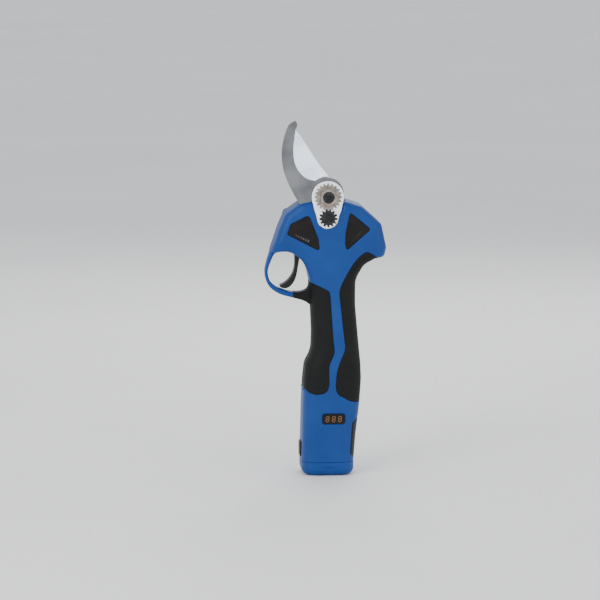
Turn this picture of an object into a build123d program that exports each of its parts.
from build123d import *

import math
import os

# Battery electric pruner, standing on the foot of its battery pack.
# Frame: +Z up along the handle, +X towards the palm side, -X towards the finger loop,
# Y across the thickness. The origin is the middle of the flat foot. Units: millimetres.

# ---------------------------------------------------------------- driving dimensions
WALL = 2.2                 # plastic wall of the two casing halves
SKIN = 0.9                 # thickness of the rubber overmould
HEAD_HALF = 19.5           # half thickness of the head
HEAD_EDGE = 4.0            # rounding of the head's side faces
INNER_EDGE = 2.0           # rounding of the head under the overmould
FIT = 0.3                  # clearance round a loose part
RUN = 0.05                 # radial clearance of a running fit

PIVOT_X, PIVOT_Z = -0.5, 243.5      # axis of the blades, along Y
BOLT_R = 5.0                        # pivot bolt

PLATE_Y = (-17.1, -15.2)            # drop-shaped cover plate under the two outer gears
FIXED_Y = (-15.1, -11.1)            # hooked counter blade
MOVING_Y = (-11.0, -7.5)            # moving blade
HUB_TOP_Y = -7.4                    # face of the aluminium head that the moving blade rubs on

NUT_TEETH, LOCK_TEETH = 20, 13      # pivot nut and its lock gear
NUT_MODULE = 1.1
NUT_Y = (-19.9, -17.2)
LOCK_Z = PIVOT_Z - NUT_MODULE * (NUT_TEETH + LOCK_TEETH) / 2

SECTOR_TEETH, PINION_TEETH = 36, 12     # bevel sector on the moving blade, bevel pinion
BEVEL_MODULE = 1.0
BEVEL_WIDTH = 5.5                       # face width along the cone
TOOTH_SHARE = 0.38                      # tooth thickness in circular pitches
CONE = BEVEL_MODULE * math.hypot(SECTOR_TEETH, PINION_TEETH) / 2    # cone distance
LUGS, LUG_Z = (-9.3, 8.3), 214.4        # the two screws in the counter blade's root

SUN_TEETH, PLANET_TEETH, RING_TEETH = 12, 15, 42
STAGE_MODULE = 0.5
PLANETS = 3
PLANET_ORBIT = STAGE_MODULE * (SUN_TEETH + PLANET_TEETH) / 2
STAGE_WIDTH = 5.0
STAGE_1_Z, STAGE_2_Z = 181.0, 191.0     # foot of the planets of each stage
GEARBOX_R = 13.3
GEARBOX_Z = (178.0, 207.0)
SHAFT_R = 3.0
MOTOR_R = 10.8
MOTOR_Z = (126.0, 177.0)

CELL_R, CELL_LENGTH = 9.2, 65.0
PACK_X = (-18.8, 20.0)
PACK_HALF_Y = 19.4
PACK_Z = (12.3, 79.5)
PACK_CORNER = 9.9
PACK_WALL = 0.9
CAP_Z = 12.0                            # top edge of the pack's visible foot
CELL_Z = 13.5

TRIGGER_PIVOT = (-26.0, 201.0)
TRIGGER_HALF = 5.0

DISPLAY = (4.0, 50.2, 19.4, 8.8)        # middle x and z, width, height
PANEL_Z = (16.0, 50.0)                  # switch panel on the palm side
BUTTON_Z = 24.0
LATCH_Z = (15.0, 28.0)

# z, front x, rear x, half thickness and corner radius of the handle, from the foot upwards
HANDLE = [
    (CAP_Z, -23.2, 22.4, 22.2, 12.5),
    (35.0, -23.0, 24.1, 22.2, 12.5),
    (62.0, -22.1, 27.4, 22.2, 12.5),
    (84.0, -21.0, 29.0, 21.8, 12.5),
    (97.0, -19.6, 28.7, 20.8, 15.0),
    (108.0, -14.6, 27.7, 19.9, 15.0),
    (125.0, -13.7, 25.8, 19.2, 15.0),
    (148.0, -14.7, 24.2, 19.0, 15.0),
    (165.0, -15.7, 24.0, 19.0, 14.0),
    (178.0, -17.2, 27.0, 19.2, 12.0),
]

# corners of the head's outline, x and z, with the rounding of each
HEAD = [
    ((-15.0, 240.2), 2.0), ((-24.0, 238.2), 6.0), ((-37.0, 229.0), 8.0),
    ((-42.6, 216.0), 12.0), ((-49.5, 195.6), 1.5), ((-33.0, 195.9), 8.0),
    ((-21.5, 187.0), 10.0), ((-16.2, 172.0), 10.0), ((-15.6, 161.0), 1.0),
    ((23.8, 161.0), 1.0), ((24.2, 171.0), 8.0), ((31.0, 183.6), 12.0),
    ((40.6, 189.0), 6.0), ((48.6, 190.6), 4.0), ((50.6, 199.0), 6.0),
    ((46.0, 219.4), 4.0), ((28.6, 235.2), 6.0), ((16.0, 239.6), 2.0),
]

# finger loop: outer edge, then the edge of the finger opening
LOOP_OUTSIDE = [
    (-47.6, 202.0), (-52.5, 187.1), (-54.6, 176.0), (-51.0, 165.1),
    (-41.9, 158.2), (-29.8, 154.6), (-20.4, 151.7), (-13.0, 146.5),
]
OPENING = [
    (-37.4, 195.9), (-45.0, 194.0), (-48.7, 188.2), (-51.9, 177.6), (-48.4, 167.4),
    (-37.4, 161.2), (-26.1, 159.6), (-18.4, 161.6), (-16.0, 168.0), (-18.5, 180.7),
    (-26.5, 191.4),
]
LOOP_HALF = 7.0

# rubber overmould: borders on the flat of the side, x and z
FRONT_GRIP = [
    (-30.0, 174.0), (-14.5, 168.6), (-3.0, 163.4), (0.9, 159.0), (2.3, 142.0), (3.8, 120.0),
    (4.7, 108.0), (0.3, 95.8), (0.0, 80.0), (-3.0, 73.4), (-11.5, 71.8), (-19.0, 74.6),
    (-30.0, 85.0),
]
REAR_GRIP = [
    (45.0, 188.5), (36.0, 194.6), (31.0, 195.0), (22.5, 187.3), (13.1, 171.6), (9.3, 161.5),
    (10.1, 149.7), (13.4, 119.6), (13.7, 110.0), (7.4, 93.0), (6.4, 74.6), (14.2, 68.0),
    (22.0, 64.8), (40.0, 62.5),
]

STICKERS = {
    "front": [(-33.4, 220.5), (-19.2, 227.6), (-16.6, 226.4), (-9.1, 207.4), (-8.0, 196.8),
              (-36.4, 211.5)],
    "rear": [(18.2, 230.6), (36.4, 215.4), (15.2, 196.8), (14.0, 203.0), (14.3, 212.0)],
}
STICKER_DEPTH = 0.6

# casing screws, x and z, driven in from the +Y side
SCREWS = [(-33.0, 226.0), (-40.5, 203.0), (31.0, 225.5), (43.5, 199.0), (17.6, 166.0),
          (19.0, 124.0), (-14.8, 88.0), (22.5, 88.0)]
SCREW_R, SCREW_HEAD_R, BOSS_R = 1.5, 2.8, 3.4
SCREW_HEAD_Y = (13.6, 15.6)
SCREW_TIP_Y = -10.0

# ---------------------------------------------------------------- general helpers
def slab(face, y_low, y_high):
    """A face drawn in x and z, thickened from y_low to y_high."""
    return Pos(0, y_high, 0) * extrude(Plane.XZ * face, amount=y_high - y_low)


def rod_y(x, z, radius, y_low, y_high):
    return slab(Pos(x, z) * Circle(radius), y_low, y_high)


def rod_z(x, y, radius, z_low, z_high):
    return Pos(x, y, z_low) * extrude(Circle(radius), amount=z_high - z_low)


def rod_x(y, z, radius, x_low, x_high):
    return Pos(x_low, y, z) * Rot(0, 90, 0) * extrude(Circle(radius), amount=x_high - x_low)


def block(x, y, z):
    """A box from three (low, high) pairs."""
    size = [v[1] - v[0] for v in (x, y, z)]
    return Pos(*[sum(v) / 2 for v in (x, y, z)]) * Box(*size)


def polygon(points):
    return make_face(Polyline(*points, close=True))


def smooth(points):
    """A face bounded by one closed curve through the points."""
    return make_face(Spline(*points, periodic=True))


def drop(centre_x, top_z, top_r, low_z, low_r):
    """A drop: two circles one above the other, and their common tangents."""
    return make_hull(
        (Pos(centre_x, top_z) * Circle(top_r)).edges()
        + (Pos(centre_x, low_z) * Circle(low_r)).edges()
    )


def screw(head_r, head_y, shank_r, tip_y, drive_r):
    """A socket screw along -Y at the origin, head outermost at +Y."""
    low, high = head_y
    shape = rod_y(0, 0, head_r, low, high) + rod_y(0, 0, shank_r, tip_y, low)
    socket = slab(RegularPolygon(drive_r, 6), high - 1.2, high)
    return shape - socket


# ---------------------------------------------------------------- gears
def spur_face(teeth, module, addendum, dedendum, thinning):
    """A spur gear with its flanks cut into short chords of the involute, and tooth 0
    centred on the first axis. thinning is taken off each flank, and may be negative."""
    pitch_r = module * teeth / 2
    pressure = math.radians(20)
    base_r = pitch_r * math.cos(pressure)
    root_r, tip_r = pitch_r - dedendum, pitch_r + addendum
    steps = 5

    def half_angle(radius):
        """Half the angle that a tooth fills at a radius."""
        angle = math.acos(base_r / max(radius, base_r))
        rolled = math.tan(angle) - angle - math.tan(pressure) + pressure
        return math.pi / (2 * teeth) - thinning / pitch_r - rolled

    radii = [root_r + (tip_r - root_r) * i / (steps - 1) for i in range(steps)]
    points = []
    for tooth in range(teeth):
        middle = 2 * math.pi * tooth / teeth
        points += [(r, middle - half_angle(r)) for r in radii]
        points += [(r, middle + half_angle(r)) for r in reversed(radii)]
    return polygon([(r * math.cos(a), r * math.sin(a)) for r, a in points])


def bevel_tooth(module, cone_distance, width, cone_angle, share):
    """One straight bevel tooth, its apex at the origin, its gear's axis along +Z and the
    tooth over +X. share is the tooth's thickness at the pitch cone, in circular pitches."""
    tilt = math.tan(math.radians(20))
    along = Vector(math.sin(cone_angle), 0, -math.cos(cone_angle))
    out = Vector(math.cos(cone_angle), 0, math.sin(cone_angle))
    ends = []
    for distance in (cone_distance, cone_distance - width):
        k = module * distance / cone_distance
        corners = []
        for rise, side in ((-1.30 * k, -1), (0.70 * k, -1), (0.70 * k, 1), (-1.30 * k, 1)):
            across = side * (math.pi * share / 2 * k - rise * tilt)
            corners.append(along * distance + out * rise + Vector(0, across, 0))
        ends.append(make_face(Polyline(*corners, close=True)))
    return loft(ends, ruled=True)


# ---------------------------------------------------------------- casing
NEAR = block((-80, 80), (-40, 0), (-20, 340))
FAR = block((-80, 80), (0, 40), (-20, 340))


def section(z, front, rear, half, corner, inset):
    """One rounded section of the handle, drawn inwards by inset."""
    shape = RectangleRounded(rear - front - 2 * inset, 2 * (half - inset), corner - inset)
    return Pos((front + rear) / 2, 0, z) * shape


def handle(inset):
    return loft([section(*row, inset) for row in HANDLE], ruled=True)


def head(inset, edge):
    """The head's outline, thickened, with its long edges rounded."""
    face = polygon([corner for corner, _ in HEAD])
    for (x, z), radius in HEAD:
        face = fillet(face.vertices().sort_by_distance((x, z, 0))[0], radius)
    half = HEAD_HALF - inset
    body = slab(offset(face, -inset) if inset else face, -half, half)
    if not edge:
        return body
    return fillet([e for e in body.edges() if abs(abs(e.center().Y) - half) < 0.01], edge)


def opening(growth):
    """The finger opening right through, with its edge moved outwards by growth."""
    edge = smooth(OPENING).edges()[0]
    steps = 28
    points = []
    for place in [index / steps for index in range(steps)]:
        along = edge % place
        points.append(edge @ place + Vector(along.Y, -along.X, 0) * growth)
    return slab(smooth(points if growth else OPENING), -40, 40)


def finger_loop():
    inward = Polyline(LOOP_OUTSIDE[-1], (0.0, 146.5), (0.0, 202.0), LOOP_OUTSIDE[0])
    return slab(make_face([Spline(*LOOP_OUTSIDE), inward]), -LOOP_HALF, LOOP_HALF)


def outside_of(side):
    return ((head(0, HEAD_EDGE) & side) + (handle(0) & side)) - opening(0)


def skin_of(outside, depth):
    """The outermost layer of the casing, depth thick."""
    return outside - handle(depth) - head(depth, INNER_EDGE)


def rim_of_slots(sign):
    """What the blades, the trigger and the two outer gears need open in each half."""
    hub = rod_y(PIVOT_X, PIVOT_Z, 15.3, PLATE_Y[0] - FIT, 14.5)
    root = block((-29.0, 0.0), (FIXED_Y[0] - FIT, MOVING_Y[1] + FIT), (225.0, 260.0))
    side = slab(drop(PIVOT_X - 0.4, PIVOT_Z, 12.9, LOCK_Z, 9.4), *sorted((0, sign * 30)))
    trigger = block((-29.4, -19.6), (-TRIGGER_HALF - FIT, TRIGGER_HALF + FIT), (182.0, 199.0))
    return hub + root + side + trigger


def bosses(sign, outside):
    """Screw posts and the two seats of the trigger's pin, inside one half."""
    ends = sorted((0, sign * 30))
    posts = [rod_y(x, z, BOSS_R, *ends) for x, z in SCREWS]
    seat = rod_y(*TRIGGER_PIVOT, 3.2, *sorted((sign * 10.0, sign * 30)))
    return [post & outside for post in [*posts, seat]]


def screw_holes(sign):
    """Pilot holes on the near side, clearance holes and head wells on the far side."""
    holes = [rod_y(*TRIGGER_PIVOT, 1.5, -12.0, 12.0)]
    for x, z in SCREWS:
        if sign < 0:
            holes.append(rod_y(x, z, SCREW_R, SCREW_TIP_Y, 0.1))
        else:
            holes.append(rod_y(x, z, SCREW_R + 0.2, -0.1, SCREW_HEAD_Y[0]))
            holes.append(rod_y(x, z, SCREW_HEAD_R + 0.2, SCREW_HEAD_Y[0], 30.0))
    return holes


def casing_half(side, sign):
    """One casing half with its own pieces of overmould and its two side panels."""
    outside = outside_of(side)
    skin = skin_of(outside, SKIN)
    grips = [skin & slab(smooth_open(border), -40, 40) for border in (FRONT_GRIP, REAR_GRIP)]
    recess = outside - block((-80, 80), (-HEAD_HALF + STICKER_DEPTH, HEAD_HALF - STICKER_DEPTH),
                             (0, 340))
    panels = [recess & slab(polygon(points), -40, 40) for points in STICKERS.values()]
    hollow = [head(WALL, 0) - opening(WALL), handle(WALL) - opening(WALL)]
    shell = outside
    for part in hollow:
        shell -= part
    loop = (finger_loop() & side) - opening(0)
    for part in hollow:
        loop -= part
    shell += loop
    for part in bosses(sign, outside):
        shell += part
    for part in [*grips, *panels, rim_of_slots(sign), *screw_holes(sign), switch_panel(False),
                 window_of_latch(), hole_of_button()]:
        shell -= part
    if sign < 0:
        shell -= display_pocket()
    for index, grip in enumerate(grips):
        for hole in screw_holes(sign):
            grip -= hole
        grips[index] = grip
    return shell, grips, panels


def smooth_open(border):
    """A face inside a curve through the border's points, closed by a straight line."""
    return make_face([Spline(*border), Line(border[-1], border[0])])


def switch_panel(drilled=True):
    low, high = PANEL_Z
    face = Polyline((-12.0, low), (12.0, low), (19.0, low + 3), (19.0, high - 5), (9.0, high),
                    (-9.0, high), (-19.0, high - 5), (-19.0, low + 3), close=True)
    region = extrude(Plane.YZ.offset(19.0) * make_face(face), amount=12.0)
    panel = (handle(0) - handle(SKIN)) & region
    return panel - hole_of_button() if drilled else panel


def hole_of_button():
    return rod_x(0, BUTTON_Z, 4.2, 18.5, 30.0)


def power_button():
    surface = 23.25
    cap = rod_x(0, BUTTON_Z, 4.0, surface - 1.9, surface + 0.8)
    return fillet(cap.edges().sort_by(Axis.X)[-1], 0.5)


def window_of_latch():
    return block((-30.0, -19.0), (-7.3, 7.3), (LATCH_Z[0] - FIT, LATCH_Z[1] + FIT))


def release_button():
    """Latch button with a flange behind the wall that keeps it in its window."""
    cap = block((-24.4, -20.6), (-7.0, 7.0), LATCH_Z)
    cap = fillet(cap.edges().filter_by(Axis.X), 2.0)
    cap = fillet(cap.faces().sort_by(Axis.X)[0].edges(), 0.8)
    return cap + block((-20.8, -20.1), (-8.2, 8.2), (LATCH_Z[0] - 1.2, LATCH_Z[1] + 1.2))


def display_face(growth):
    x, z, width, height = DISPLAY
    return Pos(x, z) * RectangleRounded(width + growth, height + growth, 1.8)


def display_pocket():
    return slab(display_face(0.1), -30.0, -19.0)


# ---------------------------------------------------------------- blades and outer gears
def bolt_hole(shape, low, high):
    return shape - rod_y(PIVOT_X, PIVOT_Z, BOLT_R + RUN, low, high)


def fixed_blade():
    """Hooked counter blade: beak, concave edge, round hub, and a root with two screws."""
    edges = [
        Spline((-13.0, 211.0), (-22.4, 232.0), (-35.4, 256.6), (-40.4, 277.0), (-38.4, 295.0),
               (-34.8, 305.2)),
        Spline((-34.8, 305.2), (-32.0, 307.6), (-28.6, 309.3)),
        Spline((-28.6, 309.3), (-27.3, 307.0), (-28.6, 302.0)),
        Spline((-28.6, 302.0), (-30.5, 286.5), (-28.2, 270.2), (-19.6, 259.6), (-10.4, 257.0)),
        ThreePointArc((-10.4, 257.0), (6.6, 257.9), (13.2, 244.6)),
        Polyline((13.2, 244.6), (11.0, 211.0), (-13.0, 211.0)),
    ]
    blade = slab(make_face(edges), *FIXED_Y)
    for x in LUGS:
        blade -= rod_y(x, LUG_Z, 2.0, *FIXED_Y)
    blade -= rod_y(PIVOT_X, LOCK_Z, 2.0, *FIXED_Y)
    return bolt_hole(blade, *FIXED_Y)


def to_pivot(shape):
    """A gear made about +Z at the origin, turned to face +Y at the pivot, so that its
    first axis stays along +X and its second points down."""
    return Pos(PIVOT_X, 0, PIVOT_Z) * Rot(-90, 0, 0) * shape


def moving_blade():
    """Blade, hub and bevel sector in one forging."""
    outline = [
        Spline((-28.6, 301.6), (-32.6, 288.0), (-32.6, 274.0), (-26.0, 260.4), (-13.0, 249.0)),
        Polyline((-13.0, 249.0), (PIVOT_X, PIVOT_Z), (8.0, 252.0)),
        Spline((8.0, 252.0), (-0.2, 261.4), (-12.0, 277.1), (-24.2, 296.0), (-28.6, 301.6)),
    ]
    rim = [(18.4 * math.cos(math.radians(a)), 18.4 * math.sin(math.radians(a)))
           for a in range(26, 107, 10)]
    plate = slab(make_face(outline), *MOVING_Y)
    plate += rod_y(PIVOT_X, PIVOT_Z, 14.0, *MOVING_Y)
    sector = extrude(polygon([(0, 0), *rim]), amount=3.5)
    plate += to_pivot(Pos(0, 0, MOVING_Y[0]) * sector)
    cone = math.atan2(SECTOR_TEETH, PINION_TEETH)
    cut = make_face(Plane.XZ * Polyline(
        (11.8, -7.8), (18.3, -7.8), (17.55, -7.15), (12.5, -5.06), (11.8, -5.06), close=True))
    plate += to_pivot(Rot(0, 0, 26) * revolve(cut, Axis.Z, 80))
    pitch = 360 / SECTOR_TEETH
    tooth = bevel_tooth(BEVEL_MODULE, CONE, BEVEL_WIDTH, cone, TOOTH_SHARE)
    for index in range(8):
        plate += to_pivot(Rot(0, 0, 30 + pitch * index) * tooth)
    return bolt_hole(plate, -12, 1)


def bevel_pinion():
    """Bevel pinion on the output shaft, a gap between its teeth facing the sector."""
    body = Pos(0, 0, -18.35) * Cone(4.85, 3.40, 5.3, align=(Align.CENTER, Align.CENTER, Align.MIN))
    body += Pos(0, 0, -20.4) * extrude(Circle(4.85), amount=2.1)
    tooth = bevel_tooth(BEVEL_MODULE, CONE, BEVEL_WIDTH, math.atan2(PINION_TEETH, SECTOR_TEETH), TOOTH_SHARE)
    pitch = 360 / PINION_TEETH
    for index in range(PINION_TEETH):
        body += Rot(0, 0, -90 + pitch * (index + 0.5)) * tooth
    return Pos(PIVOT_X, 0, PIVOT_Z) * body - rod_z(PIVOT_X, 0, SHAFT_R, 200, 260)


def nut_gear():
    """Toothed pivot nut with a raised hexagon."""
    gear = slab(Pos(PIVOT_X, PIVOT_Z) * Rot(0, 0, -90) * gear_face(NUT_TEETH), *NUT_Y)
    gear += slab(Pos(PIVOT_X, PIVOT_Z) * Rot(0, 0, 30) * RegularPolygon(8.1, 6), NUT_Y[0] - 1.9, NUT_Y[0])
    return bolt_hole(gear, -25, -10)


def gear_face(teeth):
    return spur_face(teeth, NUT_MODULE, 0.75, 1.05, 0.06)


def lock_gear():
    """Small gear that stops the nut, with a well for its screw's head."""
    turn = 90 + 180 / LOCK_TEETH
    gear = slab(Pos(PIVOT_X, LOCK_Z) * Rot(0, 0, turn) * gear_face(LOCK_TEETH), *NUT_Y)
    gear -= rod_y(PIVOT_X, LOCK_Z, 2.0 + RUN, -25, -10)
    return gear - rod_y(PIVOT_X, LOCK_Z, 3.3, -25, NUT_Y[0] + 1.3)


def lock_screw():
    head_y, tip = NUT_Y[0] + 1.25, FIXED_Y[1]
    shape = rod_y(PIVOT_X, LOCK_Z, 3.1, head_y - 1.2, head_y) + rod_y(PIVOT_X, LOCK_Z, 2.0, head_y, tip)
    return shape - slab(Pos(PIVOT_X, LOCK_Z) * RegularPolygon(1.5, 6), head_y - 1.2, head_y - 0.2)


def cover_plate():
    plate = slab(drop(PIVOT_X - 0.4, PIVOT_Z, 14.0, LOCK_Z, 10.0), *PLATE_Y)
    plate -= rod_y(PIVOT_X, LOCK_Z, 2.0 + RUN, *PLATE_Y)
    return bolt_hole(plate, *PLATE_Y)


def pivot_bolt():
    shape = rod_y(PIVOT_X, PIVOT_Z, BOLT_R, -21.5, 14.1)
    shape += slab(Pos(PIVOT_X, PIVOT_Z) * RegularPolygon(9.0, 6), 14.1, 19.4)
    return shape - slab(Pos(PIVOT_X, PIVOT_Z) * RegularPolygon(2.6, 6), -22.0, -19.5)


def gear_head():
    """Aluminium bracket: pivot boss, back plate, bearing tower and two blade lugs."""
    shape = rod_y(PIVOT_X, PIVOT_Z, 9.5, HUB_TOP_Y, 9.0)
    shape += slab(drop(PIVOT_X, PIVOT_Z, 14.0, 219.0, 10.5), 8.0, 14.0)
    shape += rod_z(PIVOT_X, 0, 10.5, 207.6, 221.0)
    for x in LUGS:
        shape += rod_y(x, LUG_Z, 3.6, FIXED_Y[1] + RUN, 6.0)
    for x in LUGS:
        shape -= rod_y(x, LUG_Z, 1.6, -20, -5.0)
    shape -= rod_z(PIVOT_X, 0, 5.3, 200, 222)
    shape -= rod_z(PIVOT_X, 0, 8.0, 207, 212.0)
    return bolt_hole(shape, -20, 20)


def blade_screws():
    low = FIXED_Y[0]
    screws = []
    for x in LUGS:
        one = rod_y(x, LUG_Z, 3.4, low - 1.9, low) + rod_y(x, LUG_Z, 1.6, low, -5.0)
        screws.append(one - slab(Pos(x, LUG_Z) * RegularPolygon(1.5, 6), low - 2, low - 0.8))
    return screws


# ---------------------------------------------------------------- drive
def ring_of(radius, bore, low, high):
    return rod_z(PIVOT_X, 0, radius, low, high) - rod_z(PIVOT_X, 0, bore, low, high)


def at_axis(face, low, high, turn=0.0):
    return Pos(PIVOT_X, 0, low) * Rot(0, 0, turn) * extrude(face, amount=high - low)


def stage_face(teeth):
    return spur_face(teeth, STAGE_MODULE, 0.40, 0.60, 0.04)


def planet_place(index):
    angle = math.radians(360 / PLANETS * index)
    return PIVOT_X + PLANET_ORBIT * math.cos(angle), PLANET_ORBIT * math.sin(angle)


def planet(index, low):
    """A planet with a gap towards the sun and a tooth towards the ring."""
    x, y = planet_place(index)
    turn = 360 / PLANETS * index + 180 + 180 / PLANET_TEETH
    gear = Pos(x, y, low) * Rot(0, 0, turn) * extrude(stage_face(PLANET_TEETH), amount=STAGE_WIDTH)
    return gear - rod_z(x, y, 1.2 + RUN, low, low + STAGE_WIDTH)


def carrier(low):
    """Disc above a stage's planets, with their pins."""
    top = low + STAGE_WIDTH
    shape = rod_z(PIVOT_X, 0, 9.4, top + 0.4, top + 2.6)
    for index in range(PLANETS):
        shape += rod_z(*planet_place(index), 1.2, low + 0.2, top + 0.5)
    return shape


def sun(low, high, bore):
    return at_axis(stage_face(SUN_TEETH), low, high) - rod_z(PIVOT_X, 0, bore, low, high)


def ring_gear():
    void = spur_face(RING_TEETH, STAGE_MODULE, 0.62, 0.35, -0.04)
    low, high = STAGE_1_Z - 0.5, STAGE_2_Z + STAGE_WIDTH + 0.4
    return rod_z(PIVOT_X, 0, 12.0, low, high) - at_axis(void, low, high)


def gearbox_case():
    low = GEARBOX_Z[0]
    return ring_of(GEARBOX_R, 12.0, low, 199.8) + ring_of(12.5, 4.0, low, low + 2.0)


def gearbox_cover():
    return ring_of(GEARBOX_R, 3.6, 200.0, 207.0) - rod_z(PIVOT_X, 0, 8.0, 201.6, 207.0)


def bearings():
    """Output shaft bearings in the head and the gearbox cover, and the motor's rear one."""
    low = MOTOR_Z[0]
    return [ring_of(8.0, SHAFT_R, 207.6, 212.0), ring_of(8.0, SHAFT_R, 201.6, 206.6),
            ring_of(4.5, 1.6, low + 3, low + 6)]


def motor_can():
    low, high = MOTOR_Z
    return (rod_z(PIVOT_X, 0, MOTOR_R, low, high) - rod_z(PIVOT_X, 0, MOTOR_R - 0.7, low, high - 2)
            - rod_z(PIVOT_X, 0, 3.2, low, high))


def stator():
    body = ring_of(MOTOR_R - 0.75, 6.8, MOTOR_Z[0] + 8, MOTOR_Z[0] + 40)
    slots = ring_of(8.9, 6.8, MOTOR_Z[0] + 8, MOTOR_Z[0] + 40)
    for index in range(6):
        fin = block((6.0, 9.0), (-1.1, 1.1), (MOTOR_Z[0] + 8, MOTOR_Z[0] + 40))
        slots -= Pos(PIVOT_X, 0, 0) * Rot(0, 0, 60 * index) * fin
    return body - slots


def windings():
    low, high = MOTOR_Z[0] + 7.5, MOTOR_Z[0] + 40.5
    coils = []
    for index in range(6):
        coil = block((7.3, 8.5), (-2.2, 2.2), (low, high))
        coil -= block((7.0, 9.0), (-1.15, 1.15), (low + 0.5, high - 0.5))
        coils.append(Pos(PIVOT_X, 0, 0) * Rot(0, 0, 60 * index) * coil)
    return coils


def rotor():
    low = MOTOR_Z[0]
    return rod_z(PIVOT_X, 0, 6.3, low + 9, low + 39) + rod_z(PIVOT_X, 0, 1.6, low + 2.0, STAGE_1_Z + 5.1)


# ---------------------------------------------------------------- trigger
def trigger():
    """Hooked finger lever, its hub on the pin and a short arm that carries the magnet."""
    lever = [
        Spline((-29.0, 197.5), (-28.3, 187.0), (-29.8, 176.8), (-34.4, 169.9), (-41.0, 165.9)),
        Spline((-41.0, 165.9), (-41.4, 164.6), (-40.4, 163.8)),
        Spline((-40.4, 163.8), (-35.2, 163.2), (-29.3, 168.6), (-26.3, 177.6), (-24.8, 186.4),
               (-23.0, 197.5)),
        Line((-23.0, 197.5), (-29.0, 197.5)),
    ]
    x, z = TRIGGER_PIVOT
    body = slab(make_face(lever), -TRIGGER_HALF, TRIGGER_HALF)
    body += rod_y(x, z, 4.4, -TRIGGER_HALF, TRIGGER_HALF)
    arm = make_hull((Pos(x, z) * Circle(3.0)).edges() + (Pos(x + 5.6, z + 6.0) * Circle(2.2)).edges())
    body += slab(arm, -3.0, 3.0)
    return body - rod_y(x, z, 1.5 + RUN, -6, 6) - magnet_rod()


def magnet_rod():
    return rod_y(TRIGGER_PIVOT[0] + 5.6, TRIGGER_PIVOT[1] + 6.0, 1.4, -3.0, 3.0)


def trigger_spring():
    coil = Helix(pitch=1.0, height=3.4, radius=2.6)
    wire = sweep(Plane(origin=coil @ 0, z_dir=coil % 0) * Circle(0.35), path=coil)
    x, z = TRIGGER_PIVOT
    return Pos(x, 9.3, z) * Rot(90, 0, 0) * wire


def hall_board():
    return block((-17.6, -16.4), (-5.0, 5.0), (201.0, 212.0))


# ---------------------------------------------------------------- electronics
def controller_board():
    return block((-9.0, 17.0), (4.0, 5.6), (91.0, 120.0))


def board_parts():
    """Six power transistors, a processor, a buzzer and a capacitor on the board."""
    parts = [block((-7.0 + 8 * c, -1.5 + 8 * c), (5.6, 7.2), (96.0 + 9 * r, 102.0 + 9 * r))
             for c in range(3) for r in range(2)]
    parts.append(block((-5.0, 3.0), (2.6, 4.0), (108.0, 116.0)))
    parts.append(rod_y(11.0, 113.0, 4.0, 0.5, 4.0))
    parts.append(rod_z(6.0, -1.5, 4.5, 92.0, 106.0))
    return parts


def motor_leads():
    return [rod_z(x, 4.8, 0.9, 120.0, MOTOR_Z[0] - 1.5) for x in (-4.0, 0.0, 4.0)]


def battery_leads():
    return [rod_z(x, 4.8, 1.0, 89.0, 91.0) for x in (-3.0, 6.0)]


CONTACTS = (-5.0, 0.6, 6.2)


def contact_block():
    shape = block((-9.0, 10.2), (-6.0, 6.0), (83.0, 89.0))
    for x in CONTACTS:
        shape -= block((x - 0.4, x + 0.4), (-2.5, 2.5), (83.0, 89.0))
    return shape


def contact_blades():
    return [block((x - 0.4, x + 0.4), (-2.5, 2.5), (80.4, 89.0)) for x in CONTACTS]


def display_window():
    return slab(display_face(0), -22.0, -20.9)


def display_module():
    return slab(display_face(-0.2), -20.9, -20.1)


# ---------------------------------------------------------------- battery pack
PACK_MID = sum(PACK_X) / 2


def pack_section(inset, low, high):
    width = PACK_X[1] - PACK_X[0] - 2 * inset
    shape = RectangleRounded(width, 2 * (PACK_HALF_Y - inset), PACK_CORNER - inset)
    return Pos(PACK_MID, 0, low) * extrude(shape, amount=high - low)


def pack_case():
    low, high = PACK_Z
    return pack_section(0, low, high) - pack_section(PACK_WALL, low + 1.0, high)


def pack_lid():
    low = PACK_Z[1]
    shape = pack_section(0, low, low + 2.2)
    for x in CONTACTS:
        shape -= block((x - 0.8, x + 0.8), (-3.2, 3.2), (low - 1, low + 3))
    return shape


def pack_foot():
    """Visible end of the pack, flush with the casing, with a flat to stand on."""
    z, front, rear, half, corner = HANDLE[0]
    shape = Pos((front + rear) / 2, 0, 0) * extrude(
        RectangleRounded(rear - front, 2 * half, corner), amount=z - 0.2)
    shape = fillet(shape.faces().sort_by(Axis.Z)[0].edges(), 6.0)
    shape += pack_section(0.5, z - 1.0, PACK_Z[0])
    nick = block((-3.9, 6.5), (-30.0, -half + 0.5), (6.9, 7.7))
    return shape - nick


def cells():
    return [rod_z(PACK_MID + 9.25 * a, 9.25 * b, CELL_R, CELL_Z, CELL_Z + CELL_LENGTH)
            for a in (-1, 1) for b in (-1, 1)]


def cell_straps():
    top = CELL_Z + CELL_LENGTH
    return [block((PACK_MID - 14.0, PACK_MID + 14.0), (9.25 * b - 3.0, 9.25 * b + 3.0), (top, top + 0.2))
            for b in (-1, 1)]


def pack_board():
    top = CELL_Z + CELL_LENGTH + 0.2
    return block((-14.0, 15.0), (-15.0, 15.0), (top + 0.1, PACK_Z[1]))


# ---------------------------------------------------------------- assembly
def casing_screws():
    screws = []
    for x, z in SCREWS:
        one = screw(SCREW_HEAD_R, SCREW_HEAD_Y, SCREW_R, SCREW_TIP_Y, 1.3)
        screws.append(Pos(x, 0, z) * one)
    return screws


def write(name, shapes):
    """One STEP file for one node, from one solid or a group of separate solids."""
    group = shapes if isinstance(shapes, list) else [shapes]
    solids = [solid for shape in group for solid in shape.solids()]
    export_step(solids[0] if len(solids) == 1 else Compound(children=solids), f"parts/{name}.step")


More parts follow.
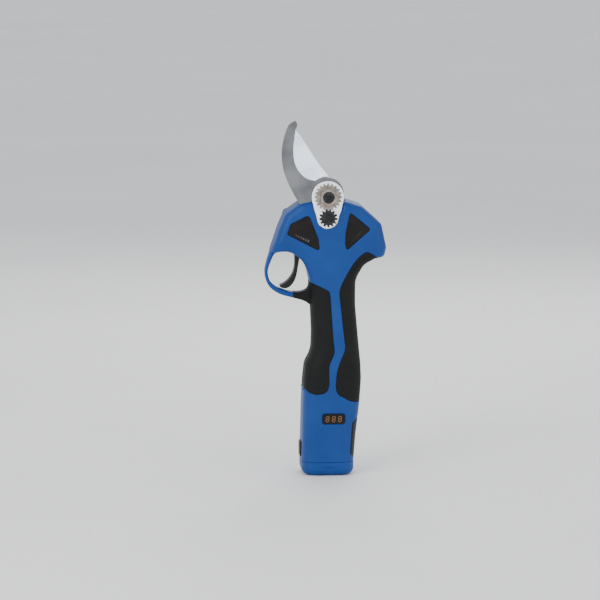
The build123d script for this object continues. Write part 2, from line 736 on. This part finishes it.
def main():
    os.makedirs("parts", exist_ok=True)
    for word, side, sign in (("left", NEAR, -1), ("right", FAR, 1)):
        shell, grips, panels = casing_half(side, sign)
        write(f"housing_{word}", shell)
        write(f"front_grip_{word}", grips[0])
        write(f"rear_grip_{word}", grips[1])
        write(f"side_panels_{word}", panels)
    write("casing_screws", casing_screws())
    write("switch_panel", switch_panel())
    write("power_button", power_button())
    write("release_button", release_button())
    write("display_window", display_window())
    write("display_module", display_module())
    write("cover_plate", cover_plate())
    write("nut_gear", nut_gear())
    write("lock_gear", lock_gear())
    write("lock_screw", lock_screw())
    write("fixed_blade", fixed_blade())
    write("blade_screws", blade_screws())
    write("moving_blade", moving_blade())
    write("pivot_bolt", pivot_bolt())
    write("gear_head", gear_head())
    write("bevel_pinion", bevel_pinion())
    write("output_shaft", rod_z(PIVOT_X, 0, SHAFT_R, 198.6, 230.4))
    write("output_carrier", carrier(STAGE_2_Z))
    write("first_carrier", carrier(STAGE_1_Z))
    write("second_sun", sun(STAGE_1_Z + STAGE_WIDTH + 2.6, STAGE_2_Z + STAGE_WIDTH + 0.2, 0.8))
    write("first_sun", sun(STAGE_1_Z - 0.6, STAGE_1_Z + STAGE_WIDTH + 0.1, 1.6))
    for index in range(PLANETS):
        write(f"first_planet_{index + 1}", planet(index, STAGE_1_Z))
        write(f"second_planet_{index + 1}", planet(index, STAGE_2_Z))
    write("ring_gear", ring_gear())
    write("gearbox_case", gearbox_case())
    write("gearbox_cover", gearbox_cover())
    write("motor_can", motor_can())
    write("motor_stator", stator())
    write("motor_windings", windings())
    write("motor_rotor", rotor())
    write("bearings", bearings())
    write("trigger", trigger())
    write("trigger_magnet", magnet_rod())
    write("trigger_pin", rod_y(*TRIGGER_PIVOT, 1.5, -12.0, 12.0))
    write("trigger_spring", trigger_spring())
    write("hall_board", hall_board())
    write("controller_board", controller_board())
    write("board_parts", board_parts())
    write("leads", motor_leads() + battery_leads())
    write("contact_block", contact_block())
    write("contact_blades", contact_blades())
    write("pack_case", pack_case())
    write("pack_lid", pack_lid())
    write("pack_foot", pack_foot())
    write("battery_cells", cells())
    write("cell_straps", cell_straps())
    write("pack_board", pack_board())


if __name__ == "__main__":
    main()
